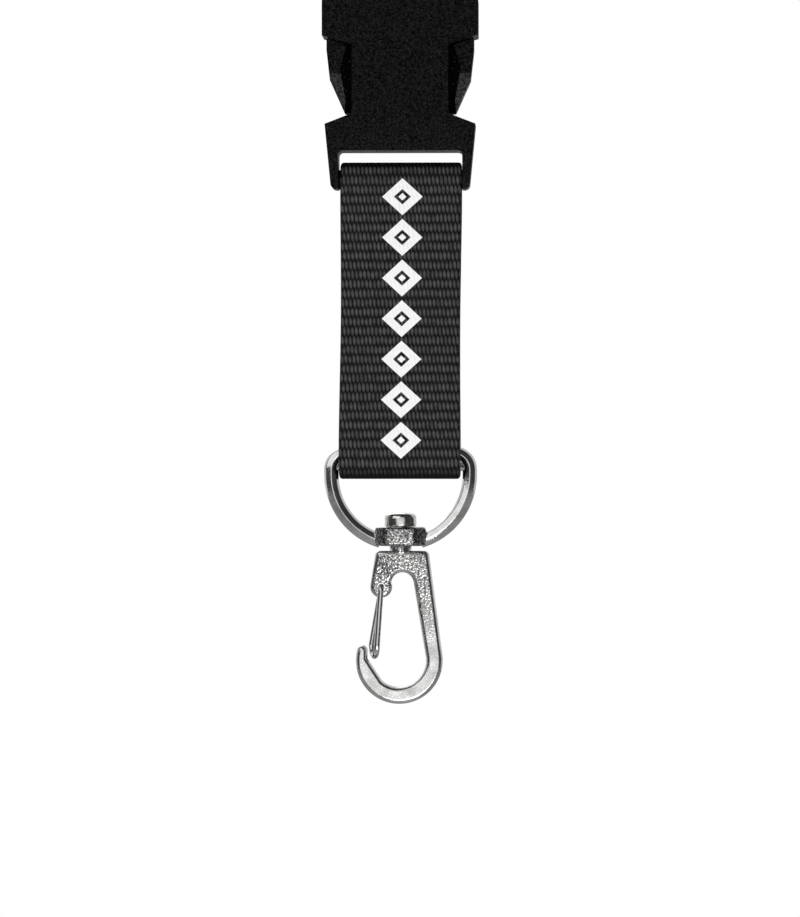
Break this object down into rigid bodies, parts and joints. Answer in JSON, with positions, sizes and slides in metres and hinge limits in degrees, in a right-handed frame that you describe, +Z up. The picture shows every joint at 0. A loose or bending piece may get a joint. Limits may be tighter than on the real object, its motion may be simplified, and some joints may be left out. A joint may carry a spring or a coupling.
{
  "type": "lanyard buckle strap with swivel hook",
  "caption": "Lower end of a lanyard: side-release buckle, doubled webbing strap, D-ring and swivelling snap hook with a wire gate.",
  "frame": {"origin": "middle of the plug's webbing bar, where the neck strap holds the lanyard", "axes": "+Z up along the hanging lanyard, -Y out of its front, X across the webbing"},
  "size_m": [0.0254, 0.0093, 0.1255],
  "materials": {
    "buckle_plastic": "black acetal with a fine moulded grain",
    "webbing": "woven black polyester with a white print",
    "thread": "black polyester thread",
    "plated_casting": "bright nickel on a slightly pebbled zinc casting",
    "steel": "nickel-plated steel"
  },
  "bodies": {
    "plug": {"buckle_plug": "buckle_plastic"},
    "arm_left": {"latch_arm_left": "buckle_plastic"},
    "arm_right": {"latch_arm_right": "buckle_plastic"},
    "socket": {"buckle_socket": "buckle_plastic"},
    "strap": {"strap_webbing": "webbing", "seam_stitching": "thread"},
    "ring": {"d_ring": "plated_casting"},
    "hook": {"swivel_rivet": "steel", "hook_body": "plated_casting"},
    "gate": {"gate_wire": "steel"}
  },
  "joints": [
    {"name": "squeeze_left", "type": "hinge", "parent": "plug", "child": "arm_left", "pos_m": [-0.0093, 0, -0.0114], "axis": [0, -1, 0], "range_deg": [0, 10], "stiffness_Nm_per_rad": 0.3, "springref_deg": -2.86},
    {"name": "squeeze_right", "type": "hinge", "parent": "plug", "child": "arm_right", "pos_m": [0.0093, 0, -0.0114], "axis": [0, 1, 0], "range_deg": [0, 10], "stiffness_Nm_per_rad": 0.3, "springref_deg": -2.86},
    {"name": "buckle_release", "type": "slide", "parent": "plug", "child": "socket", "axis": [0, 0, -1], "range_m": [0, 0.028], "deforming": ["latch_arm_left", "latch_arm_right"]},
    {"name": "strap_swing", "type": "hinge", "parent": "socket", "child": "strap", "pos_m": [0, 0, -0.0385], "axis": [1, 0, 0], "range_deg": [-90, 90]},
    {"name": "ring_swing", "type": "hinge", "parent": "strap", "child": "ring", "pos_m": [0, 0, -0.08395], "axis": [1, 0, 0], "range_deg": [-120, 120]},
    {"name": "hook_swivel", "type": "hinge", "parent": "ring", "child": "hook", "pos_m": [0, 0, -0.0982], "axis": [0, 0, 1], "continuous": true},
    {"name": "gate_open", "type": "hinge", "parent": "hook", "child": "gate", "pos_m": [-0.00315, 0, -0.10485], "axis": [0, -1, 0], "range_deg": [0, 28], "stiffness_Nm_per_rad": 0.03, "springref_deg": -11.46}
  ]
}
